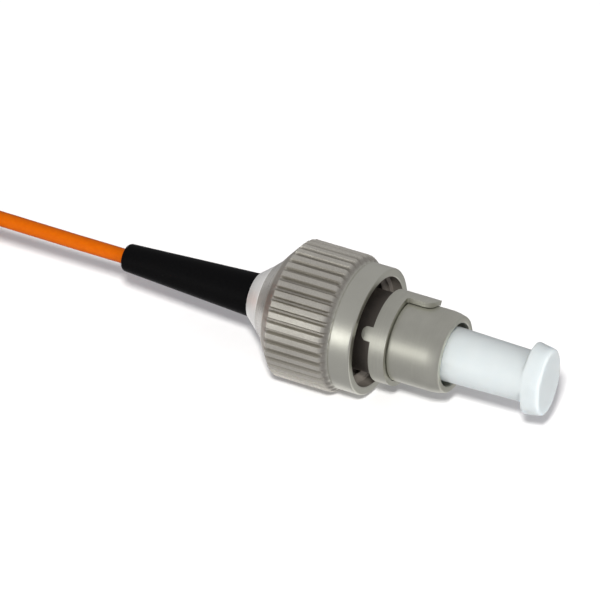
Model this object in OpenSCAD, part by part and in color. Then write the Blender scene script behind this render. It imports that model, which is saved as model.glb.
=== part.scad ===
// Threaded fibre connector with a fluted coupling nut, on a buffered pigtail.
// Everything on the connector is turned about one axis, which runs along +X towards the tip.
// Lengths along the axis are stations counted from the rear face of the plug sleeve's flange.

/* [Plug sleeve] */
// Outside diameter of the barrel that enters the adaptor
barrel_d = 5.95; // [5.6:0.01:6.1]
// Length from the rear of the flange to the tip of the barrel
barrel_l = 10.2; // [9.5:0.1:12]
// Bore around the ferrule, and the same bore behind the wall
barrel_bore_d = 4.65; // [4.4:0.05:4.8]
// Depth of the front bore
front_bore_l = 5.6; // [5:0.1:6.2]
// Thickness of the wall that the ferrule's flange is pushed against
seat_wall = 0.5; // [0.4:0.05:0.8]
// Diameter of the flange that holds the nut on
flange_d = 6.6; // [6.3:0.05:7]
// Thickness of that flange
flange_l = 1.0; // [0.8:0.1:1.4]
// Length of the rounded nose
nose_l = 0.8; // [0.4:0.1:1.2]
// How far the nose draws in from the barrel, on the radius
nose_drop = 0.25; // [0.1:0.05:0.3]

/* [Key ring] */
// Wall of the ring and its tabs
ring_wall = 0.38; // [0.3:0.02:0.45]
// Length of the ring
ring_l = 1.2; // [0.8:0.1:1.6]
// Rear face of the ring, from the rear of the flange
ring_at = 5.0; // [4.8:0.1:5.4]
// Width of the key
key_w = 2.0; // [1.6:0.05:2.2]
// How far the key reaches ahead of the ring
key_l = 2.1; // [1.8:0.05:3]
// Chamfer on the key's front corners
key_chamfer = 0.3; // [0.1:0.05:0.6]
// Angle of the key about the axis, from straight up towards +Y
key_turn = 26; // [0:1:90]
// Width of the small tab that points back
tab_w = 1.0; // [0.6:0.1:1.4]
// How far that tab reaches behind the ring
tab_l = 0.75; // [0.5:0.05:1]
// Angle of the tab about the axis, from straight up towards -Y
tab_turn = 57; // [30:1:90]

/* [Coupling nut] */
// Diameter over the ribs
nut_d = 10.1; // [9.8:0.1:11]
// Overall length
nut_l = 8.4; // [8.2:0.1:9]
// Number of ribs round the grip
rib_count = 40; // [24:4:48]
// Width of one rib
rib_w = 0.5; // [0.4:0.02:0.56]
// Depth of the grooves between the ribs
rib_h = 0.27; // [0.15:0.01:0.35]
// Length of the ribs, with their rear and front chamfers
rib_l = 5.55; // [4.6:0.05:5.6]
// Wall of the plain front band, round the counterbore
band_wall = 0.61; // [0.55:0.01:0.7]
// Length of the plain front band
band_l = 1.65; // [1.2:0.05:1.8]
// Radius of the band's outer front edge
lip_r = 0.45; // [0.2:0.05:0.5]
// Diameter of the rear face
nut_rear_d = 4.9; // [4.7:0.1:5.4]
// Diameter where the rear cone meets the ribs' chamfer
cone_d = 7.7; // [7.2:0.1:8.2]
// Length of the rear cone
cone_l = 1.1; // [0.8:0.1:1.4]
// Length of the ribs' rear chamfer
rib_chamfer_l = 0.9; // [0.5:0.1:1.2]
// Length of the ribs' front chamfer
rib_front_chamfer_l = 0.5; // [0.2:0.05:0.6]
// How far the front chamfer draws in, on the radius
rib_front_drop = 0.35; // [0.1:0.05:0.4]
// Inside diameter of the thread
thread_d = 7.25; // [7.2:0.01:7.3]
// Diameter of the plain counterbore at the mouth
mouth_d = 8.1; // [8:0.05:8.3]
// Depth of that counterbore
mouth_l = 0.8; // [0.4:0.1:1.2]
// Thickness of the rear wall, from the rear face to the inner shoulder
nut_wall = 2.8; // [2.6:0.1:3]
// Thickness of the thrust washer inside the nut
washer_t = 0.3; // [0.2:0.05:0.4]

/* [Rear body] */
// Diameter of the neck that the nut slides on
neck_d = 4.0; // [3.8:0.05:4.1]
// Length of the neck, from the flange to the collar
neck_l = 4.35; // [4.3:0.01:4.6]
// Bore that holds the spring
spring_bore_d = 3.3; // [3.2:0.05:3.4]
// Depth of the spring's seat behind the flange
spring_seat = 3.0; // [2.6:0.1:3.2]
// How far the rear body reaches into the plug sleeve
spigot_l = 1.2; // [0.8:0.1:1.4]
// Diameter of the collar beside the nut
collar_d = 4.75; // [4.7:0.05:5.2]
// Diameter of the collar beside the boot
collar_rear_d = 3.4; // [3.2:0.05:3.8]
// Length of the conical collar
collar_l = 1.2; // [0.8:0.1:1.4]
// Diameter of the stem inside the boot
stem_d = 2.5; // [2.3:0.05:2.7]
// Length of the stem
stem_l = 2.65; // [2:0.05:4]
// Bore of the stem
stem_bore_d = 1.9; // [1.7:0.05:2]

/* [Boot] */
// Diameter beside the collar
boot_d = 3.2; // [3:0.05:3.4]
// Diameter at the rear end
boot_rear_d = 2.0; // [1.8:0.05:2.4]
// Length
boot_l = 10.45; // [9:0.05:14]
// Radius of the rear edge
boot_edge_r = 0.3; // [0.1:0.05:0.4]

/* [Ferrule] */
// Outside diameter of the ceramic ferrule
ferrule_d = 2.499; // [2.49:0.001:2.5]
// How far the ferrule stands out of the plug sleeve
ferrule_out = 2.0; // [1:0.1:2.6]
// Length of the ferrule inside its flange
ferrule_in = 1.2; // [1:0.1:1.4]
// Chamfer at the ferrule's tip
ferrule_chamfer = 0.35; // [0.2:0.05:0.5]
// Length of the ferrule's flange
ferrule_flange_l = 1.7; // [1.5:0.1:1.9]
// Length of the hub behind that flange, which guides the spring
hub_l = 1.2; // [0.8:0.1:1.4]
// Diameter of the hub
hub_d = 2.1; // [1.9:0.05:2.2]
// How far the ferrule can be pushed back against its spring
float_l = 0.8; // [0.5:0.1:0.9]
// Number of notches in the ferrule's flange
notch_count = 4; // [2:2:6]
// Width of a notch
notch_w = 0.8; // [0.6:0.05:1]
// Depth of a notch
notch_h = 0.5; // [0.4:0.05:0.6]

/* [Spring] */
// Wire diameter
wire_d = 0.4; // [0.3:0.02:0.42]
// Number of turns
spring_turns = 7; // [5:0.5:8]

/* [Fibre] */
// Diameter of the bare glass fibre
glass_d = 0.125; // [0.125:0.005:0.14]
// Outside diameter of the buffered fibre
buffer_d = 1.1; // [0.9:0.02:1.2]
// Inside diameter of the buffer
buffer_bore_d = 0.26; // [0.24:0.01:0.3]
// Outside diameter of the guide tube behind the ferrule
guide_d = 0.9; // [0.8:0.02:0.95]
// Clear length that the ferrule's float leaves between the guide tube and the spring's seat
guide_gap = 0.2; // [0.1:0.05:0.4]

/* [Dust cap] */
// Diameter of the barrel where it enters the plug sleeve
cap_d = 4.0; // [3.7:0.05:4.1]
// Diameter of the barrel at the head
cap_neck_d = 3.68; // [3.4:0.02:3.8]
// Length of the barrel ahead of the plug sleeve
cap_out = 6.0; // [4.5:0.1:8]
// How far the barrel reaches into the plug sleeve
cap_in = 4.5; // [3:0.1:4.8]
// Diameter of the head's rear face
head_d = 5.2; // [4.6:0.1:5.6]
// Diameter of the head's front face
head_front_d = 4.5; // [4.2:0.1:5]
// Length of the head
head_l = 1.4; // [1:0.1:2]
// Radius of the head's edges
head_edge_r = 0.3; // [0.1:0.05:0.4]
// Angle of the head's two ears, from straight up towards +Y
head_turn = 18; // [0:1:90]

/* [Coil] */
// Radius of the coil at the middle of its turns
coil_mid_r = 6.27; // [6:0.01:8]
// Turns side by side
coil_columns = 5; // [3:1:6]
// Turns on top of each other
coil_layers = 5; // [3:1:6]
// Thickness of the tie
tie_t = 0.1; // [0.1:0.05:0.3]
// Width of the tie, as an angle about the coil's centre
tie_angle = 24; // [10:1:40]

/* [Fits] */
// Radial clearance of pieces that are fixed in each other
fixed_c = 0.01; // [0.005:0.005:0.02]
// Radial clearance of the ferrule in its cap
cap_c = 0.015; // [0.01:0.005:0.03]
// Radial clearance of the nut on the neck
slide_c = 0.1; // [0.05:0.01:0.12]
// Clearance between faces that stop a movement
stop_c = 0.05; // [0.02:0.01:0.1]
// Radial clearance of the key ring on the barrel
ring_c = 0.04; // [0.02:0.01:0.05]

/* [Hidden] */
$fn = 96;

barrel_r = barrel_d / 2;
barrel_bore_r = barrel_bore_d / 2;
seat_front = barrel_l - front_bore_l;
seat_rear = seat_front - seat_wall;
nose_arc_r = (nose_l * nose_l + nose_drop * nose_drop) / (2 * nose_drop);
edge = 0.1;

ring_r = barrel_r + ring_c;
ring_front = ring_at + ring_l;

collar_front = -neck_l;
collar_rear = collar_front - collar_l;
stem_rear = collar_rear - stem_l;
boot_rear = collar_rear - boot_l;

nut_rear = collar_front + stop_c;
nut_shoulder = nut_rear + nut_wall;
washer_front = nut_shoulder + washer_t;
nut_travel = -washer_front - stop_c;
band_d = mouth_d + 2 * band_wall;
rib_front = cone_l + rib_l;
groove_r = nut_d / 2 - rib_h;
neck_groove_r = band_d / 2 - 0.15;

ferrule_tip = barrel_l + ferrule_out;
ferrule_rear = seat_rear - ferrule_in;
flange_rear = seat_rear - ferrule_flange_l;
hub_rear = flange_rear - hub_l;
guide_rear = float_l + guide_gap - spring_seat;
buffer_front = guide_rear - float_l - 0.4;
glass_rear = buffer_front - float_l - 0.4;

head_rear = barrel_l + cap_out;
cap_rear = barrel_l - cap_in;
cap_tip = head_rear + head_l;
cap_bore_r = ferrule_d / 2 + cap_c;

mid = (cap_tip + boot_rear) / 2;
axis_h = nut_d / 2;

// Middle of the coil on the floor, and the pitch of its turns
coil_at = [-38.15, -4.15];
coil_pitch = buffer_d + 0.02;
tie_turn = 200;

// The pigtail from the boot to the coil: level out of the boot, then round onto the coil's top
// outer turn, which lies at almost the same height.
route = [
    [-16.8, 0, 5.05], [-17.8, 0, 5.05], [-18.8, 0, 5.05], [-19.8, 0, 5.05],
    [-20.8, 0, 5.05], [-21.8, 0, 5.06], [-22.8, 0, 5.07], [-23.8, 0, 5.08],
    [-24.8, 0, 5.09], [-25.8, 0, 5.1], [-26.8, 0, 5.11], [-27.8, 0, 5.12],
    [-28.8, 0.1, 5.13], [-29.7, 0.3, 5.13], [-30.5, 0.6, 5.13], [-31.3, 1.1, 5.13],
    [-31.8, 1.5, 5.13], [-32.1, 1.8, 5.13]];

// A solid of revolution about the connector's axis, from an outline of [radius, station] points.
module turned(outline) rotate([0, 90, 0]) rotate_extrude() polygon(outline);

// A plain bushing between two stations.
module tube(r_out, r_in, from, to)
    turned([[r_in, from], [r_out, from], [r_out, to], [r_in, to]]);

// A flat outline in the plane of the axis, raised to a radius and turned about the axis.
// A positive turn leans from straight up towards +Y.
module round_the_axis(turn, height) rotate([-turn, 0, 0]) linear_extrude(height) children();

// Points along an arc from one angle to another, for rounded edges of outlines.
function arc(centre, r, from, to, steps = 5) =
    [for (i = [0:steps]) let (a = from + (to - from) * i / steps)
        [centre[0] + r * cos(a), centre[1] + r * sin(a)]];

module in_place() translate([-mid, 0, axis_h]) children();

module plug_sleeve() color([0.74, 0.74, 0.71]) in_place() {
    nose_start = barrel_l - nose_l;
    nose_end_a = asin((nose_l - edge / 2) / nose_arc_r);
    turned(concat(
        [[barrel_bore_r, 0], [flange_d / 2, 0], [flange_d / 2, flange_l], [barrel_r, flange_l]],
        arc([barrel_r - nose_arc_r, nose_start], nose_arc_r, 0, nose_end_a, 6),
        [[barrel_r - nose_drop - edge / 2, barrel_l], [barrel_bore_r + edge, barrel_l],
         [barrel_bore_r, barrel_l - edge], [barrel_bore_r, seat_front],
         [ferrule_d / 2 + slide_c, seat_front], [ferrule_d / 2 + slide_c, seat_rear],
         [barrel_bore_r, seat_rear]]));
    // The rib that keeps the ferrule's flange from turning.
    intersection() {
        tube(barrel_bore_r + edge, barrel_bore_r - notch_h + slide_c,
            seat_rear - ferrule_flange_l - float_l, seat_rear + edge);
        round_the_axis(0, flange_d) translate([seat_rear - ferrule_flange_l, 0])
            square([2 * ferrule_flange_l + edge, notch_w - 2 * slide_c], center = true);
    }
}

module key_ring() color([0.77, 0.77, 0.74]) in_place() {
    ring_out = ring_r + ring_wall;
    turned([[ring_r, ring_at], [ring_out, ring_at], [ring_out, ring_front - edge],
        [ring_out - edge, ring_front], [ring_r + edge, ring_front], [ring_r, ring_front - edge]]);
    intersection() {
        tube(ring_out, ring_r, ring_at - tab_l, ring_front + key_l);
        union() {
            round_the_axis(key_turn, 2 * ring_out) polygon([
                [ring_at + ring_l / 2, -key_w / 2], [ring_front + key_l - key_chamfer, -key_w / 2],
                [ring_front + key_l, key_chamfer - key_w / 2],
                [ring_front + key_l, key_w / 2 - key_chamfer],
                [ring_front + key_l - key_chamfer, key_w / 2], [ring_at + ring_l / 2, key_w / 2]]);
            round_the_axis(-tab_turn, 2 * ring_out) {
                translate([ring_at - tab_l + tab_w / 2, -tab_w / 2])
                    square([tab_l - tab_w / 2 + ring_l / 2, tab_w]);
                translate([ring_at - tab_l + tab_w / 2, 0]) circle(d = tab_w);
            }
        }
    }
}

// Where the ribs' rear chamfer is at a radius, from the nut's rear face.
function chamfer_at(r) = cone_l + rib_chamfer_l * (r - cone_d / 2) / (nut_d / 2 - cone_d / 2);

// The nut's body without its ribs, with stations counted from its rear face.
module nut_core() {
    thread_r = thread_d / 2;
    band_rear = nut_l - band_l;
    turned(concat(
        [[neck_d / 2 + slide_c, 0], [nut_rear_d / 2, 0], [cone_d / 2, cone_l],
         [groove_r, chamfer_at(groove_r)],
         [groove_r, rib_front - rib_w / 2], [neck_groove_r, rib_front],
         [neck_groove_r, band_rear - 0.05], [band_d / 2, band_rear + 0.05]],
        arc([band_d / 2 - lip_r, nut_l - lip_r], lip_r, 0, 90),
        [[mouth_d / 2, nut_l], [mouth_d / 2, nut_l - mouth_l],
         [thread_r, nut_l - mouth_l - (mouth_d / 2 - thread_r)], [thread_r, nut_wall],
         [neck_d / 2 + slide_c, nut_wall]]));
}

// Cross-section of the grip: a round cut by straight-sided grooves, which leave the ribs.
module grip_section() {
    groove_w = 2 * nut_d / 2 * sin(180 / rib_count) - rib_w;
    difference() {
        circle(d = nut_d + 0.2);
        for (i = [0:rib_count - 1]) rotate((i + 0.5) * 360 / rib_count)
            translate([groove_r - edge, -groove_w / 2]) square([2 * rib_h + edge, groove_w]);
    }
}

module coupling_nut() color([0.66, 0.66, 0.63]) in_place() translate([nut_rear, 0, 0]) {
    nut_core();
    intersection() {
        turned([[neck_groove_r - edge, chamfer_at(neck_groove_r - edge)],
            [nut_d / 2, chamfer_at(nut_d / 2)], [nut_d / 2, rib_front - rib_front_chamfer_l],
            [nut_d / 2 - rib_front_drop, rib_front], [neck_groove_r - edge, rib_front]]);
        rotate([0, 90, 0]) linear_extrude(nut_l) grip_section();
    }
}

module thrust_washer() color([0.7, 0.65, 0.5]) in_place()
    tube(thread_d / 2 - slide_c, neck_d / 2 + slide_c, nut_shoulder, washer_front);

module rear_body() color([0.86, 0.86, 0.84]) in_place()
    turned([[stem_bore_d / 2, stem_rear], [stem_d / 2, stem_rear], [stem_d / 2, collar_rear],
        [collar_rear_d / 2, collar_rear], [collar_d / 2, collar_front], [neck_d / 2, collar_front],
        [neck_d / 2, 0], [barrel_bore_r - fixed_c, 0], [barrel_bore_r - fixed_c, spigot_l],
        [spring_bore_d / 2, spigot_l], [spring_bore_d / 2, -spring_seat],
        [stem_bore_d / 2, -spring_seat]]);

module boot() color([0.06, 0.06, 0.06]) in_place() {
    socket_r = stem_d / 2 + fixed_c;
    bore_r = buffer_d / 2 + fixed_c;
    turned(concat(
        [[socket_r, collar_rear], [socket_r, stem_rear - stop_c], [bore_r, stem_rear - stop_c],
         [bore_r, boot_rear]],
        arc([boot_rear_d / 2 - boot_edge_r, boot_rear + boot_edge_r], boot_edge_r, -90, 0),
        [[boot_d / 2, collar_rear]]));
}

module ferrule() color([0.96, 0.96, 0.94]) in_place() {
    capillary_r = glass_d / 2 + 0.002;
    turned([[capillary_r, ferrule_tip], [capillary_r, ferrule_rear + 1], [guide_d / 2, ferrule_rear],
        [ferrule_d / 2, ferrule_rear], [ferrule_d / 2, ferrule_tip - 1.5 * ferrule_chamfer],
        [ferrule_d / 2 - ferrule_chamfer, ferrule_tip]]);
}

module ferrule_flange() color([0.72, 0.71, 0.67]) in_place() difference() {
    turned([[ferrule_d / 2 + 0.001, seat_rear], [barrel_bore_r - slide_c, seat_rear],
        [barrel_bore_r - slide_c, flange_rear], [hub_d / 2, flange_rear], [hub_d / 2, hub_rear],
        [guide_d / 2 + fixed_c, hub_rear], [guide_d / 2 + fixed_c, ferrule_rear],
        [ferrule_d / 2 + 0.001, ferrule_rear]]);
    for (i = [0:notch_count - 1]) rotate([i * 360 / notch_count, 0, 0])
        translate([flange_rear - edge, -notch_w / 2, barrel_bore_r - notch_h])
            cube([ferrule_flange_l + 2 * edge, notch_w, notch_h]);
}

// A compression spring with one closed turn at each end, as one swept wire.
module ferrule_spring() {
    mean_r = (spring_bore_d - wire_d) / 2 - slide_c;
    length = flange_rear + spring_seat - wire_d - 2 * fixed_c;
    rings = 12 * spring_turns;
    sides = 8;
    // Share of the length reached after a share of the turns.
    function reached(t) = let (end = 1 / spring_turns, closed = 1.05 * wire_d / length)
        t < end ? closed * t / end
        : t > 1 - end ? 1 - closed * (1 - t) / end
        : closed + (1 - 2 * closed) * (t - end) / (1 - 2 * end);
    function ring(i) = let (t = i / rings, a = 360 * spring_turns * t,
            x = -spring_seat + fixed_c + wire_d / 2 + length * reached(t))
        [for (k = [0:sides - 1]) let (b = 360 * k / sides, r = mean_r + wire_d / 2 * cos(b))
            [x + wire_d / 2 * sin(b), r * cos(a), r * sin(a)]];
    color([0.8, 0.8, 0.82]) in_place() polyhedron(
        [for (i = [0:rings]) each ring(i)],
        concat([[for (k = [0:sides - 1]) k]],
            [for (i = [0:rings - 1], k = [0:sides - 1]) let (n = (k + 1) % sides)
                [i * sides + n, i * sides + k, (i + 1) * sides + k, (i + 1) * sides + n]],
            [[for (k = [sides - 1:-1:0]) rings * sides + k]]));
}

module guide_tube() color([0.95, 0.95, 0.95]) in_place()
    tube(guide_d / 2, glass_d / 2 + 0.08, guide_rear, ferrule_rear - fixed_c);

module glass_fibre() color([0.85, 0.92, 0.95]) in_place()
    rotate([0, 90, 0]) translate([0, 0, glass_rear]) cylinder(h = ferrule_tip - glass_rear, d = glass_d);

module buffer_insert() color([0.9, 0.9, 0.88]) in_place()
    tube(stem_bore_d / 2 - fixed_c, buffer_d / 2 + fixed_c, stem_rear, -spring_seat);

module buffer_end() color([0.95, 0.42, 0.08]) in_place()
    tube(buffer_d / 2, buffer_bore_d / 2, boot_rear, buffer_front);

module dust_cap() color([0.93, 0.96, 0.97]) in_place() {
    turned([[cap_bore_r, cap_rear], [cap_d / 2 - edge, cap_rear], [cap_d / 2, cap_rear + edge],
        [cap_d / 2, barrel_l], [cap_neck_d / 2, head_rear], [cap_neck_d / 2, head_rear + head_l / 2],
        [0, head_rear + head_l / 2], [0, ferrule_tip + 2 * float_l],
        [cap_bore_r, ferrule_tip + float_l]]);
    intersection() {
        turned(concat([[0, head_rear]],
            arc([head_d / 2 - head_edge_r, head_rear + head_edge_r], head_edge_r, -90, 0),
            arc([head_front_d / 2 - head_edge_r, cap_tip - head_edge_r], head_edge_r, 0, 90),
            [[0, cap_tip]]));
        rotate([-head_turn, 0, 0]) translate([head_rear + head_l / 2, 0, 0])
            cube([2 * head_l, cap_neck_d, 2 * head_d], center = true);
    }
}

// The free buffered fibre: rings of eight points, each square to the route where it stands.
module pigtail() {
    sides = 8;
    last = len(route) - 1;
    function unit(v) = v / norm(v);
    function heading(i) = i == 0 ? [-1, 0, 0] : unit(route[min(i + 1, last)] - route[i - 1]);
    function ring(i) = let (h = heading(i), side = unit(cross(h, [0, 0, 1])), up = cross(side, h))
        [for (k = [0:sides - 1]) let (b = 360 * k / sides)
            route[i] + buffer_d / 2 * (cos(b) * side + sin(b) * up)];
    color([0.95, 0.42, 0.08]) polyhedron(
        [for (i = [0:last]) each ring(i)],
        concat([[for (k = [sides - 1:-1:0]) k]],
            [for (i = [0:last - 1], k = [0:sides - 1]) let (n = (k + 1) % sides)
                [i * sides + k, i * sides + n, (i + 1) * sides + n, (i + 1) * sides + k]],
            [[for (k = [0:sides - 1]) last * sides + k]]));
}

coil_w = (coil_columns - 1) * coil_pitch + buffer_d;
coil_h = (coil_layers - 1) * coil_pitch + buffer_d;

// The outer shape of the wound turns, raised by the tie that runs under them.
module pigtail_coil() color([0.95, 0.42, 0.08]) translate([coil_at[0], coil_at[1], tie_t])
    rotate_extrude() translate([coil_mid_r - coil_w / 2, 0]) square([coil_w, coil_h]);

module coil_tie() color([0.15, 0.15, 0.16]) translate([coil_at[0], coil_at[1], tie_t])
    rotate([0, 0, tie_turn]) rotate_extrude(angle = tie_angle)
        translate([coil_mid_r - coil_w / 2, 0]) difference() {
            translate([-tie_t, -tie_t]) square([coil_w + 2 * tie_t, coil_h + 2 * tie_t]);
            square([coil_w, coil_h]);
        }

plug_sleeve();
key_ring();
coupling_nut();
thrust_washer();
rear_body();
boot();
ferrule();
ferrule_flange();
ferrule_spring();
guide_tube();
glass_fibre();
buffer_insert();
buffer_end();
dust_cap();
pigtail();
pigtail_coil();
coil_tie();
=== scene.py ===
from math import atan2, cos, hypot, pi, radians, sin

import bmesh
import bpy
from mathutils import Matrix, Vector


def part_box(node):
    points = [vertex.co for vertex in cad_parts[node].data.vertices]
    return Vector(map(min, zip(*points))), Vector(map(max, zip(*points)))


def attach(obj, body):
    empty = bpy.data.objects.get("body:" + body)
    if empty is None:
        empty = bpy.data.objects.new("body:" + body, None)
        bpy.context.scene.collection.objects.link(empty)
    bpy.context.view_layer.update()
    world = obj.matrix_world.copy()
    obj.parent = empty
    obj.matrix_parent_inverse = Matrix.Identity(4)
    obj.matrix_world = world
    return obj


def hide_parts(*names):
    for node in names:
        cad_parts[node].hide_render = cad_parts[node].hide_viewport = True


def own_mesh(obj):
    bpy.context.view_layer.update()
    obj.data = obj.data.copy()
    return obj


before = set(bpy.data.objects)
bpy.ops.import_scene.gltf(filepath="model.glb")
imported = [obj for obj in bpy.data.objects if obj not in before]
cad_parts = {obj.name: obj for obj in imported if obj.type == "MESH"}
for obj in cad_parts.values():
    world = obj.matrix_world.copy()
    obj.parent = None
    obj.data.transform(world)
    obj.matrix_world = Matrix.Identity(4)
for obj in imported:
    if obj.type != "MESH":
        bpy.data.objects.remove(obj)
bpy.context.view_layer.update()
MM = 0.001


# ---- Camera ----
# A very long lens, a good metre from the connector, looks down at its capped tip from the near
# side. It aims a little behind the coupling nut's mouth, so that the pigtail leaves the view on
# the left.
nut_low, nut_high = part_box("coupling_nut")
axis_z = (nut_low.z + nut_high.z) / 2
azimuth, elevation, distance = radians(27.2), radians(35.4), 1.2
back = Vector((sin(azimuth) * cos(elevation), -cos(azimuth) * cos(elevation), sin(elevation)))
right = Vector((cos(azimuth), sin(azimuth), 0))
up = back.cross(right)
camera = bpy.data.objects.new("camera", bpy.data.cameras.new("camera"))
camera.data.lens = 850 * distance
camera.data.clip_start, camera.data.clip_end = 0.1, 10
camera.location = (Vector((nut_high.x, 0, axis_z)) - 5.52 * MM * right + 2.25 * MM * up
                   + distance * back)
camera.rotation_euler = back.to_track_quat("Z", "Y").to_euler()
bpy.context.collection.objects.link(camera)
bpy.context.scene.camera = camera


# ---- Floor ----
# A sheet of matt white studio paper, lit so that it shows no edge and only a soft shadow close
# under the connector. Plating doesn't mirror it, and so darkens towards its underside.
class Shade:
    """A socket in a material's tree. Python's operators on it add Math nodes."""

    def __init__(self, tree, socket):
        self.tree, self.socket = tree, socket

    def add(self, kind, values, output=0, **settings):
        """A new node of that type: its settings first, then its sockets' values or links."""
        node = self.tree.nodes.new("ShaderNode" + kind)
        for setting, value in settings.items():
            setattr(node, setting, value)
        for socket, value in values.items():
            if isinstance(value, Shade):
                self.tree.links.new(value.socket, node.inputs[socket])
            else:
                node.inputs[socket].default_value = value
        return Shade(self.tree, node.outputs[output])

    def maths(self, operation, *values):
        return self.add("Math", dict(enumerate(values)), operation=operation)

    def __add__(self, other):
        return self.maths("ADD", self, other)

    def __sub__(self, other):
        return self.maths("SUBTRACT", self, other)

    def __rsub__(self, other):
        return self.maths("SUBTRACT", other, self)

    def __mul__(self, other):
        return self.maths("MULTIPLY", self, other)

    def __truediv__(self, other):
        return self.maths("DIVIDE", self, other)

    __radd__, __rmul__ = __add__, __mul__

    def noise(self, scale, detail=3.0):
        return self.add("TexNoise", {"Vector": self, "Scale": scale, "Detail": detail})

    def stretched(self, *factors):
        """These coordinates, each multiplied by its own factor."""
        return self.add("VectorMath", {0: self, 1: factors}, operation="MULTIPLY")

    def part(self, letter):
        """One of the three coordinates."""
        return self.add("SeparateXYZ", {"Vector": self}, output=letter)

    def rise(self, low, high):
        """0 below one value, 1 above the other, and smooth between them."""
        return self.add("MapRange", {"Value": self, "From Min": low, "From Max": high},
                        interpolation_type="SMOOTHSTEP")

    def tint(self, none, full):
        """Between two colours, by this mask."""
        return self.add("Mix", {0: self, 6: none, 7: full}, output=2, data_type="RGBA")

    def bump(self, strength, depth):
        return self.add("Bump", {"Strength": strength, "Distance": depth, "Height": self})

    def into(self, shader, socket):
        self.tree.links.new(self.socket, shader.inputs[socket])


def rgb(*channels):
    return (*channels, 1.0)


def finish(name, constants):
    """A new material, its shader with these constants, and the piece's own coordinates."""
    made = bpy.data.materials.new(name)
    made.use_nodes = True
    shader = made.node_tree.nodes["Principled BSDF"]
    for socket, value in constants.items():
        shader.inputs[socket].default_value = value
    coordinates = made.node_tree.nodes.new("ShaderNodeTexCoord")
    return made, shader, Shade(made.node_tree, coordinates.outputs["Object"])


def object_of(name, mesh, *materials):
    """The object of a finished bmesh, smooth except at its sharp edges."""
    data = bpy.data.meshes.new(name)
    mesh.to_mesh(data)
    mesh.free()
    for material in materials:
        data.materials.append(material)
    data.shade_smooth()
    data.set_sharp_from_angle(angle=radians(38))
    made = bpy.data.objects.new(name, data)
    bpy.context.collection.objects.link(made)
    return made


paper, shader, place = finish("studio paper", {"Roughness": 0.75, "Specular IOR Level": 0.2})
place.noise(900, 4).tint(rgb(0.88, 0.88, 0.885), rgb(0.91, 0.91, 0.915)).into(shader, "Base Color")
mesh = bmesh.new()
bmesh.ops.create_grid(mesh, x_segments=2, y_segments=2, size=1.5)
floor = object_of("floor", mesh, paper)
floor.visible_glossy = False


# ---- Studio light ----
# A softbox just above the camera lights the paper and throws the soft shadow. One low at its left
# draws the streak along every round piece of metal, and a weak one low beyond the tip lifts the
# cap's face. The room around them is pale, with a touch of violet. What plating mirrors low down behind
# the connector is the white paper close by and a dimmer room beyond it.
def softbox(name, towards, size, distance, power, colour, in_metal):
    lamp = bpy.data.lights.new(name, "AREA")
    lamp.shape, lamp.size, lamp.energy, lamp.color = "SQUARE", size, power, colour
    made = bpy.data.objects.new(name, lamp)
    towards = Vector(towards).normalized()
    made.location = towards * distance
    made.rotation_euler = towards.to_track_quat("Z", "Y").to_euler()
    made.visible_glossy = in_metal
    bpy.context.collection.objects.link(made)


softbox("high softbox", (0.29, -0.63, 0.68), 0.10, 1.0, 11.3, (1.0, 0.99, 0.965), False)
softbox("streak softbox", (-0.373, -0.91, 0.18), 0.18, 0.5, 0.24, (1.0, 1.0, 1.0), True)
softbox("low softbox", (0.9, -0.42, 0.13), 0.2, 0.6, 2.1, (1.0, 1.0, 1.0), False)
room = bpy.data.worlds.new("room")
room.use_nodes = True
background = room.node_tree.nodes["Background"]
background.inputs["Strength"].default_value = 0.42
towards = Shade(room.node_tree, room.node_tree.nodes.new("ShaderNodeTexCoord").outputs["Generated"])
down = towards.part("Z")
behind = towards.part("Y")
close_by = (1 - down.rise(-0.50, -0.34)) * (1 - behind.rise(0.45, 0.65))
far_to_near = close_by.tint(rgb(0.80, 0.79, 0.80), rgb(2.6, 2.56, 2.6))
low_behind = behind.rise(0.1, 0.3) * (1 - down.rise(-0.12, 0.0))
low_behind.add("Mix", {0: low_behind, 6: rgb(0.975, 0.96, 1.0), 7: far_to_near}, output=2,
               data_type="RGBA").into(background, "Color")
bpy.context.scene.world = room
bpy.context.scene.view_settings.view_transform = "Standard"


# ---- Pigtail ----
# One metre of orange tight-buffered fibre. It leaves the boot level and runs onto a neat coil of
# five layers behind the connector, wound as for storage, with a bare end.
cord_d = 1.1
exit_point = (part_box("boot")[0].x / MM, 0, axis_z / MM)
route = [Vector(p) for p in (
    exit_point, (-17.8, 0, 5.05), (-18.8, 0, 5.05), (-19.8, 0, 5.05),
    (-20.8, 0, 5.05), (-21.8, 0, 5.06), (-22.8, 0, 5.07), (-23.8, 0, 5.08),
    (-24.8, 0, 5.09), (-25.8, 0, 5.1), (-26.8, 0, 5.11), (-27.8, 0, 5.12),
    (-28.8, 0.1, 5.13), (-29.7, 0.3, 5.13), (-30.5, 0.6, 5.13), (-31.3, 1.1, 5.13),
    (-31.8, 1.5, 5.13), (-32.1, 1.8, 5.13))]
coil_centre, coil_r, coil_pitch, coil_base = Vector((-38.15, -4.15, 0)), 6.27, 1.12, 0.65
hop, per_turn, start = 60, 36, 44.5
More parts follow.
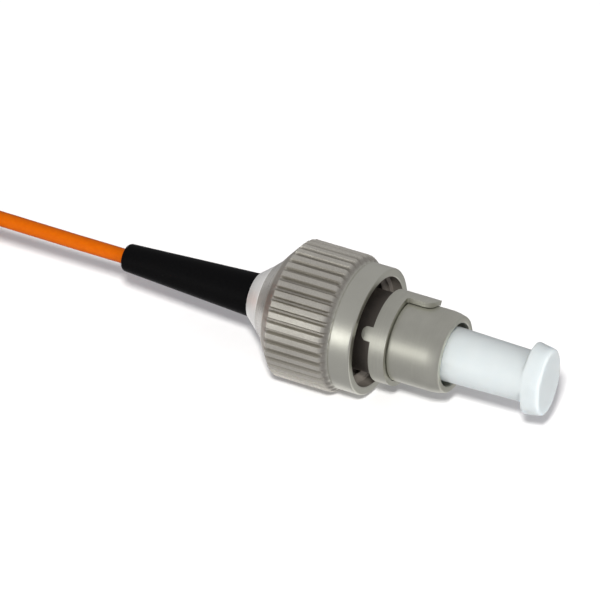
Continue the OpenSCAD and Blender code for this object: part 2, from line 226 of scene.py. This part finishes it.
# Each turn runs level for 300 degrees, then hops sideways to the next one, or down a layer.
places = []
for layer in (4, 3, 2, 1, 0):
    columns = (2, 1, 0, -1, -2) if layer % 2 == 0 else (-2, -1, 0, 1, 2)
    places += [(column, layer) for column in columns]
for turn, (column, layer) in enumerate(places):
    last = turn + 1 == len(places)
    next_column, next_layer = places[turn if last else turn + 1]
    for step in range(1 if turn == 0 else 0, per_turn):
        angle = 360 * step / per_turn
        if last and angle > 360 - hop:
            break
        share = max(0, (angle - (360 - hop)) / hop)
        ease = share * share * (3 - 2 * share)
        bulge = 0.41 * sin(pi * share) * (column > 0 or -1) * (layer != next_layer)
        r = coil_r + coil_pitch * (column + (next_column - column) * ease) + bulge
        height = coil_base + coil_pitch * (layer + (next_layer - layer) * ease)
        a = radians(start + angle)
        route.append(coil_centre + Vector((r * cos(a), r * sin(a), height)))

orange, shader, place = finish("orange buffer", {
    "Specular IOR Level": 0.06, "Subsurface Weight": 0.08,
    "Subsurface Radius": (0.0008, 0.0003, 0.0001)})
fleck = place.noise(2600, 4)
fleck.tint(rgb(0.395, 0.0715, 0.0006), rgb(0.46, 0.0915, 0.0011)).into(shader, "Base Color")
(0.36 + 0.16 * fleck).into(shader, "Roughness")
place.noise(9000, 3).bump(0.25, 0.00003).into(shader, "Normal")

line = bpy.data.curves.new("pigtail", "CURVE")
line.dimensions = "3D"
line.bevel_depth, line.bevel_resolution, line.use_fill_caps = cord_d / 2 * MM, 4, True
spline = line.splines.new("POLY")
spline.points.add(len(route) - 1)
for point, where in zip(spline.points, route):
    point.co = (*(where * MM), 1.0)
spline.use_smooth = True
line.materials.append(orange)
pigtail = bpy.data.objects.new("orange_pigtail", line)
bpy.context.collection.objects.link(pigtail)
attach(pigtail, "plug")
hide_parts("pigtail", "pigtail_coil")


# ---- Coil tie ----
# A strip of black hook-and-loop tape, wrapped once round the coil with its end lapped over the
# top. Its corners follow the turns, and its edges are cut.
tie_low, tie_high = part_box("coil_tie")
tie_t, tie_from, tie_span = 0.1, radians(200), radians(24)
half, top = 2 * coil_pitch + cord_d / 2, tie_high.z / MM - tie_t
mesh = bmesh.new()
corners = [mesh.verts.new((coil_r + x, 0, z)) for x, z in (
    (-half, tie_t), (half, tie_t), (half, top), (-half, top))]
loop = [mesh.edges.new((a, b)) for a, b in zip(corners, corners[1:] + corners[:1])]
bmesh.ops.bevel(mesh, geom=corners, affect="VERTICES", offset=0.45, segments=6, profile=0.5,
                material=-1)
lap = [mesh.verts.new((coil_r + x, 0, top + 0.001)) for x in (-0.6, half - 0.35)]
mesh.edges.new(lap)
bmesh.ops.rotate(mesh, verts=mesh.verts, matrix=Matrix.Rotation(tie_from, 3, "Z"))
bmesh.ops.spin(mesh, geom=mesh.verts[:] + mesh.edges[:], axis=(0, 0, 1), angle=tie_span, steps=16)
bmesh.ops.translate(mesh, verts=mesh.verts, vec=coil_centre)
bmesh.ops.scale(mesh, verts=mesh.verts, vec=(MM,) * 3)
bmesh.ops.recalc_face_normals(mesh, faces=mesh.faces)
tape, shader, place = finish("black tape", {"Roughness": 0.85, "Sheen Weight": 0.08})
weave = place.noise(5200, 2)
weave.rise(0.35, 0.7).tint(rgb(0.012, 0.012, 0.013), rgb(0.05, 0.05, 0.055)).into(
    shader, "Base Color")
weave.bump(0.8, 0.00006).into(shader, "Normal")
tie = object_of("coil_tape", mesh, tape)
wall = tie.modifiers.new("tape thickness", "SOLIDIFY")
wall.thickness, wall.offset = 0.09 * MM, 1
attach(tie, "plug")
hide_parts("coil_tie")


# ---- Boot ----
# A smooth black strain relief, moulded in soft thermoplastic and pushed over the rear body's
# stem. It tapers to the buffer, and its free end is rounded.
def turned(outline, steps=128, closed=True):
    """A solid turned about the connector's axis from (station, radius[, rounding]) points."""
    mesh = bmesh.new()
    rounds = {}
    points = []
    for station, radius, *rounding in outline:
        points.append(mesh.verts.new((station, 0, radius)))
        if rounding:
            rounds.setdefault(rounding[0], []).append(points[-1])
    for a, b in zip(points, points[1:] + points[:1] if closed else points[1:]):
        mesh.edges.new((a, b))
    for rounding, corner in rounds.items():
        bmesh.ops.bevel(mesh, geom=corner, affect="VERTICES", offset=rounding, segments=5,
                        profile=0.5, material=-1)
    bmesh.ops.spin(mesh, geom=mesh.verts[:] + mesh.edges[:], axis=(1, 0, 0), angle=2 * pi,
                   steps=steps, use_merge=True)
    bmesh.ops.remove_doubles(mesh, verts=mesh.verts, dist=0.0001)
    bmesh.ops.recalc_face_normals(mesh, faces=mesh.faces)
    return mesh


def placed(mesh):
    """A mesh made in millimetres about its own axis, moved to the connector's."""
    bmesh.ops.scale(mesh, verts=mesh.verts, vec=(MM,) * 3)
    bmesh.ops.translate(mesh, verts=mesh.verts, vec=(0, 0, axis_z))
    return mesh


boot_low, boot_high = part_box("boot")
boot_rear, boot_front = boot_low.x / MM, boot_high.x / MM
mesh = placed(turned([
    (boot_rear, 0.56), (boot_rear, 1.0, 0.28), (boot_front, 1.6, 0.06), (boot_front, 1.26),
    (boot_front - 2.7, 1.26), (boot_front - 2.7, 0.56)]))
rubber, shader, place = finish("boot rubber", {"Specular IOR Level": 0.05})
grain = place.noise(7000, 5)
grain.tint(rgb(0.0012, 0.0012, 0.0013), rgb(0.0032, 0.0032, 0.0034)).into(shader, "Base Color")
(0.42 + 0.16 * grain).into(shader, "Roughness")
grain.bump(0.35, 0.00003).into(shader, "Normal")
boot = object_of("strain_relief_boot", mesh, rubber)
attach(boot, "plug")
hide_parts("boot")


# ---- Rear body ----
# A turned brass body, plated in bright nickel: the cone beside the boot, the neck that the nut
# slides on, and the socket that holds the ferrule's spring.
def nickel(name, light, dark, rough, marks, metal=1.0):
    """Plated turned metal: faint rings from the tool, soft clouds in the plating."""
    made, shader, place = finish(name, {"Metallic": metal})
    rings = place.stretched(1, 0.05, 0.05).noise(9000, 4)
    clouds = place.noise(420, 3)
    (0.6 * clouds + 0.4 * rings).rise(0.3, 0.7).tint(rgb(*dark), rgb(*light)).into(
        shader, "Base Color")
    (rough + 0.12 * (rings - 0.5) + 0.08 * (clouds - 0.5)).into(shader, "Roughness")
    rings.bump(marks, 0.00002).into(shader, "Normal")
    return made


sleeve_low, sleeve_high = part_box("plug_sleeve")
flange = sleeve_low.x / MM
bright_nickel = nickel("bright nickel", (0.90, 0.90, 0.87), (0.80, 0.80, 0.77), 0.42, 0.3, 0.65)
mesh = placed(turned([
    (flange - 8.2, 0.95), (flange - 8.2, 1.25), (flange - 5.55, 1.25), (flange - 5.55, 1.7, 0.06),
    (flange - 4.35, 2.66, 0.08), (flange - 4.35, 2.0), (flange, 2.0), (flange, 2.315),
    (flange + 1.2, 2.315), (flange + 1.2, 1.65), (flange - 3.0, 1.65), (flange - 3.0, 0.95)]))
rear_body = object_of("nickel_rear_body", mesh, bright_nickel)
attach(rear_body, "plug")
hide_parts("rear_body")


# ---- Coupling nut ----
# A turned nut with forty straight flutes on its grip, a plain band with a square lip round its
# mouth and an M8 x 0.75 thread inside. It is satin nickel outside and has painted shade, a dark
# brown, in its bore. It turns and slides on the rear body.
ribs, rib_w, rib_soft = 40, 0.5, 0.09
rib_front, nut_length = 6.65, (nut_high.x - nut_low.x) / MM
floor_line = ((0, 2.74), (0.5, 3.2), (1.1, 3.98), (1.8, 4.78), (6.4, 4.78), (6.65, 4.62), (6.7, 4.61),
              (6.8, 4.66), (nut_length, 4.66))
rib_line = ((0, 2.74), (0.5, 3.2), (1.1, 3.98), (2.0, 5.05), (6.15, 5.05), (6.65, 4.70), (6.8, 4.66),
            (nut_length, 4.66))
thread_r, thread_root, thread_pitch = 3.625, 4.02, 0.75
lip_r = 0.13


def along(line, station):
    """The radius of a broken line at a station."""
    for (a, low), (b, high) in zip(line, line[1:]):
        if station <= b:
            return low + (high - low) * max(0, station - a) / (b - a)
    return line[-1][1]


def eased(share):
    share = min(1, max(0, share))
    return share * share * (3 - 2 * share)


outside = [0.0, 0.04, 0.5, 1.06, 1.14, 1.5, 1.76, 1.82, 1.88, 1.94, 2.0, 2.06, 2.3, 4.0, 5.7,
           6.1, 6.2] + [6.25 + 0.05 * i for i in range(12)] + [6.9, 7.4, nut_length - lip_r]
outline = [(0.0, 2.1)] + [(s, along(floor_line, s)) for s in outside]
outline += [(nut_length - lip_r + lip_r * sin(a), 4.66 - lip_r + lip_r * cos(a))
            for a in (radians(15 * i) for i in range(1, 7))]
outline += [(nut_length, 4.09), (nut_length - 0.04, 4.05), (7.6, 4.05)]
bore = [(7.6 - 0.0625 * i) for i in range(1, 76)]
outline += [(s, max(thread_r, thread_r + s - 7.175)) for s in bore if s > 2.9]
outline += [(2.8, 3.625), (2.8, 2.1)]
mesh = turned(outline, steps=480)
for v in mesh.verts:
    station, radius, angle = v.co.x, hypot(v.co.y, v.co.z), atan2(v.co.y, v.co.z)
    if radius > 4.4 and 1.1 < station < 6.8:
        rib_share = ribs * angle / (2 * pi)
        across = (rib_share - round(rib_share)) * 2 * pi / ribs * 5.05
        inside = rib_w / 2 - hypot(across, max(0, station - rib_front + rib_w / 2))
        raised = eased(inside / rib_soft + 0.5)
        low = along(floor_line, station)
        new = low + raised * max(0, along(rib_line, station) - low)
    elif radius < 4.04 and 2.9 < station < 7.58:
        share = (station / thread_pitch - angle / (2 * pi)) % 1
        new = max(radius, thread_root - (thread_root - thread_r) * abs(2 * share - 1) / 0.8)
    else:
        continue
    v.co.y, v.co.z = new * sin(angle), new * cos(angle)
for f in mesh.faces:
    middle = f.calc_center_median()
    inner = hypot(middle.y, middle.z)
    # The bore's faces and the rear hole's take the second material, the painted shade.
    f.material_index = int(inner < 4.052 and middle.x > 2.5 or inner < 2.2)
bmesh.ops.translate(mesh, verts=mesh.verts, vec=(nut_low.x / MM, 0, 0))
placed(mesh)

satin, shader, place = finish("fluted satin nickel", {})
x = (place.part("X") - nut_low.x) / MM
y, z = place.part("Y") / MM, (place.part("Z") - axis_z) / MM
radius = x.maths("SQRT", y * y + z * z)
grip = x.rise(1.0, 1.3) * (1 - x.rise(6.5, 6.7))
crown = radius.rise(4.84, 5.02)
rings = place.stretched(1, 0.05, 0.05).noise(9000, 4)
grit = place.noise(14000, 3)
clouds = place.noise(420, 3)
plain = clouds.tint(rgb(0.665, 0.665, 0.577), rgb(0.79, 0.79, 0.688))
# Painted shade: the rear cone takes a darker copy of the band's plating.
cone = clouds.tint(rgb(0.43, 0.42, 0.39), rgb(0.52, 0.51, 0.475))
rear = 1 - x.rise(1.0, 1.3)
plain = rear.add("Mix", {0: rear, 6: plain, 7: cone}, output=2, data_type="RGBA")
# Painted shade: the grooves between the flutes are coloured darker than the crowns.
painted_shade_grooves = (0.7 * grit + 0.3 * clouds).rise(0.3, 0.7).tint(
    rgb(0.45, 0.43, 0.376), rgb(0.585, 0.56, 0.495))
crowns = (0.7 * grit + 0.3 * clouds).rise(0.3, 0.7).tint(
    rgb(0.715, 0.69, 0.605), rgb(0.875, 0.85, 0.755))
fluted = crown.add("Mix", {0: crown, 6: painted_shade_grooves, 7: crowns}, output=2, data_type="RGBA")
grip.add("Mix", {0: grip, 6: plain, 7: fluted}, output=2, data_type="RGBA").into(
    shader, "Base Color")
(1 - 0.5 * rear).into(shader, "Metallic")
(0.37 + 0.13 * grip + 0.1 * (rings - 0.5) + 0.1 * (grit - 0.5) - 0.08 * rear).into(
    shader, "Roughness")
(rings * (1 - grip) + 1.6 * grit * grip).bump(0.35, 0.00002).into(shader, "Normal")

# Painted shade: a dark mottled brown stands in for the shadow inside the nut's bore.
bore_painted_shade, shader, place = finish("bore painted shade", {"Metallic": 0.6})
bore_shade_mottle = place.noise(1500, 4)
bore_shade_mottle.tint(rgb(0.23, 0.205, 0.175), rgb(0.38, 0.345, 0.305)).into(shader, "Base Color")
(0.45 + 0.2 * bore_shade_mottle).into(shader, "Roughness")
bore_shade_mottle.bump(0.3, 0.00003).into(shader, "Normal")
nut = object_of("fluted_coupling_nut", mesh, satin, bore_painted_shade)
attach(nut, "nut")
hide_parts("coupling_nut")


# ---- Plug sleeve ----
# The turned barrel that enters the adaptor, in satin nickel. Its flange holds the nut on, and its
# nose is rounded. Where the nut's bore hides it, it is painted dark brown as shade.
plug_nickel, shader, place = finish("plug nickel", {"Metallic": 1.0})
rings = place.stretched(1, 0.05, 0.05).noise(8000, 4)
clouds = place.noise(380, 3)
ring_rear = flange + 5.0
# Painted shade: behind the key ring, deep in the nut's bore, the barrel is painted dark brown.
painted_shade_under_nut = 1 - place.part("X").rise((ring_rear + 0.1) * MM, (ring_rear + 0.3) * MM)
plated = (0.8 * clouds + 0.2 * rings).rise(0.3, 0.7).tint(
    rgb(0.63, 0.63, 0.542), rgb(0.725, 0.725, 0.63))
painted_shade_under_nut.add("Mix", {0: painted_shade_under_nut, 6: plated, 7: rgb(0.21, 0.188, 0.165)}, output=2,
           data_type="RGBA").into(shader, "Base Color")
(0.45 + 0.08 * (rings - 0.5) + 0.08 * (clouds - 0.5) + 0.1 * painted_shade_under_nut).into(shader, "Roughness")
rings.bump(0.14, 0.00002).into(shader, "Normal")
tip = sleeve_high.x / MM
mesh = turned([
    (flange, 2.325), (flange, 3.3, 0.05), (flange + 1.0, 3.3, 0.05), (flange + 1.0, 2.975),
    (ring_rear + 1.1, 2.975), (ring_rear + 1.12, 2.75), (ring_rear + 1.25, 2.75),
    (ring_rear + 1.27, 2.975), (tip - 0.65, 2.975, 0.45), (tip, 2.78, 0.1), (tip, 2.325, 0.08),
    (tip - 5.6, 2.325), (tip - 5.6, 1.35), (tip - 6.1, 1.35), (tip - 6.1, 2.325)])
plug_sleeve = object_of("plug_barrel_sleeve", placed(mesh), plug_nickel)
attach(plug_sleeve, "plug")
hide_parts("plug_sleeve")


# ---- Key ring ----
# A ring stamped from nickel-plated strip and rolled round the barrel. Its wide key points to the
# tip and enters the adaptor's slot, and its small round tab points back.
ring_low, ring_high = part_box("key_ring")
ring_r, wall_t = 3.02, 0.37
ring_front = ring_rear + 1.2
key_tip, tab_tip = ring_high.x / MM - 0.15, ring_low.x / MM
arc = ring_r + wall_t / 2
key_y, tab_y = arc * radians(26), -arc * radians(57)
half_round = pi * arc
mesh = bmesh.new()
strip = [mesh.verts.new((x, y, 0)) for x, y in (
    (ring_rear, -half_round), (ring_front, -half_round), (ring_front, key_y - 1.0),
    (key_tip, key_y - 1.0), (key_tip, key_y + 1.0), (ring_front, key_y + 1.0),
    (ring_front, half_round), (ring_rear, half_round), (ring_rear, tab_y + 0.5),
    (tab_tip, tab_y + 0.5), (tab_tip, tab_y - 0.5), (ring_rear, tab_y - 0.5))]
mesh.faces.new(strip)
for corner, rounding, segments in ((strip[3:5], 0.6, 4), (strip[9:11], 0.42, 6),
                                   (strip[2:6:3], 0.18, 4)):
    bmesh.ops.bevel(mesh, geom=corner, affect="VERTICES", offset=rounding, segments=segments,
                    profile=0.5, material=-1)
for cut in range(1, 180):
    line_y = half_round * (cut / 90 - 1)
    bmesh.ops.bisect_plane(mesh, geom=mesh.verts[:] + mesh.edges[:] + mesh.faces[:],
                           plane_co=(0, line_y, 0), plane_no=(0, 1, 0), dist=1e-5)
for v in mesh.verts:
    turn = v.co.y / arc
    v.co = (v.co.x, (ring_r + wall_t) * sin(turn), (ring_r + wall_t) * cos(turn))
bmesh.ops.remove_doubles(mesh, verts=mesh.verts, dist=0.0001)
bmesh.ops.recalc_face_normals(mesh, faces=mesh.faces)
if sum(f.normal.dot(Vector((0, f.calc_center_median().y, f.calc_center_median().z)))
       for f in mesh.faces) < 0:
    bmesh.ops.reverse_faces(mesh, faces=mesh.faces)
key_nickel = nickel("key nickel", (0.75, 0.75, 0.653), (0.655, 0.655, 0.567), 0.46, 0.2)
key_ring = object_of("rolled_key_ring", placed(mesh), key_nickel)
wall = key_ring.modifiers.new("strip thickness", "SOLIDIFY")
wall.thickness, wall.offset = wall_t * MM, -1
rim = key_ring.modifiers.new("broken edges", "BEVEL")
rim.width, rim.segments, rim.limit_method, rim.angle_limit = 0.08 * MM, 2, "ANGLE", radians(50)
rim.harden_normals = True
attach(key_ring, "plug")
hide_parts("key_ring")


# ---- Dust cap ----
# A soft white cap, moulded in translucent polyethylene and pushed over the ferrule. Its round
# barrel grows at the tip into an oval head, whose two ears give a grip for pulling it off.
cap_low, cap_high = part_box("dust_cap")
cap_rear, cap_tip = cap_low.x / MM, cap_high.x / MM
head = cap_tip - 1.4
mesh = turned([
    (tip + 3.6, 0), (tip + 2.8, 1.265), (cap_rear, 1.265), (cap_rear, 2.0, 0.15), (tip, 2.0),
    (cap_tip, 1.84, 0.2), (cap_tip, 0)], closed=False)
milk, shader, place = finish("milky cap", {
    "Roughness": 0.4, "Subsurface Weight": 0.8, "Subsurface Scale": 0.0014,
    "Subsurface Radius": (0.9, 1.0, 1.1), "Specular IOR Level": 0.4})
haze = place.noise(500, 3)
haze.tint(rgb(0.42, 0.451, 0.456), rgb(0.46, 0.491, 0.496)).into(shader, "Base Color")
(0.36 + 0.1 * place.noise(3000, 3)).into(shader, "Roughness")
place.noise(6000, 3).bump(0.15, 0.00003).into(shader, "Normal")
cap = object_of("white_dust_cap", placed(mesh), milk)
ear_r, head_flatness, ear_roll = 2.70, 0.705, -radians(18)
mesh = turned([(head, 0), (head, ear_r, 0.08), (cap_tip, 2.46, 0.14), (cap_tip, 0)], closed=False)
bmesh.ops.scale(mesh, verts=mesh.verts, vec=(1, head_flatness, 1))
bmesh.ops.rotate(mesh, verts=mesh.verts, matrix=Matrix.Rotation(ear_roll, 3, "X"))
cap_ears = object_of("cap_ears", placed(mesh), milk)
join = cap.modifiers.new("moulded ears", "BOOLEAN")
join.operation, join.object, join.solver = "UNION", cap_ears, "EXACT"
skin = cap.modifiers.new("even skin", "REMESH")
skin.mode, skin.voxel_size, skin.use_smooth_shade = "VOXEL", 0.08 * MM, True
soft = cap.modifiers.new("moulded corners", "SMOOTH")
soft.factor, soft.iterations = 0.5, 5
bpy.context.view_layer.update()
joined = bpy.data.meshes.new_from_object(cap.evaluated_get(
    bpy.context.evaluated_depsgraph_get()))
cap.modifiers.clear()
cap.data = joined
bpy.data.objects.remove(cap_ears)
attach(cap, "cap")
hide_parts("dust_cap")


# ---- Inside the plug ----
# The ceramic ferrule in its notched metal flange, pushed forward by a spring, with the fibre,
# the clear guide tube round it and the inner sleeves that grip the buffer.
def repaint(made, *nodes):
    for node in nodes:
        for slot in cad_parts[node].material_slots:
            slot.material = made


zirconia, shader, place = finish("zirconia", {"Roughness": 0.12, "Subsurface Weight": 0.2,
                                              "Subsurface Radius": (0.0004,) * 3})
place.noise(1200, 3).tint(rgb(0.84, 0.84, 0.82), rgb(0.90, 0.90, 0.885)).into(shader, "Base Color")
repaint(zirconia, "ferrule")
repaint(nickel("flange nickel", (0.66, 0.65, 0.60), (0.52, 0.51, 0.47), 0.35, 0.3),
        "ferrule_flange")
steel = nickel("spring steel", (0.62, 0.62, 0.64), (0.48, 0.48, 0.50), 0.28, 0.2)
# The spring's wire is copied from the part's mesh, with its doubled points merged.
mesh = bmesh.new()
mesh.from_mesh(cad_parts["ferrule_spring"].data)
bmesh.ops.remove_doubles(mesh, verts=mesh.verts, dist=1e-7)
for f in mesh.faces:
    f.material_index = 0
spring = object_of("wound_spring", mesh, steel)
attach(spring, "plug")
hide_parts("ferrule_spring")
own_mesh(spring)
repaint(nickel("washer brass", (0.62, 0.50, 0.28), (0.48, 0.38, 0.20), 0.4, 0.3), "thrust_washer")
clear, shader, place = finish("clear guide tube", {"Roughness": 0.2, "Transmission Weight": 0.6})
place.noise(2000, 2).tint(rgb(0.86, 0.88, 0.88), rgb(0.94, 0.95, 0.95)).into(shader, "Base Color")
repaint(clear, "guide_tube")
glass, shader, place = finish("glass fibre", {"Roughness": 0.05, "Transmission Weight": 0.8})
place.noise(2000, 2).tint(rgb(0.80, 0.88, 0.92), rgb(0.86, 0.93, 0.95)).into(shader, "Base Color")
repaint(glass, "glass_fibre")
insert, shader, place = finish("insert plastic", {"Roughness": 0.5})
place.noise(2500, 3).tint(rgb(0.74, 0.73, 0.70), rgb(0.82, 0.81, 0.78)).into(shader, "Base Color")
repaint(insert, "buffer_insert")
repaint(orange, "buffer_end")
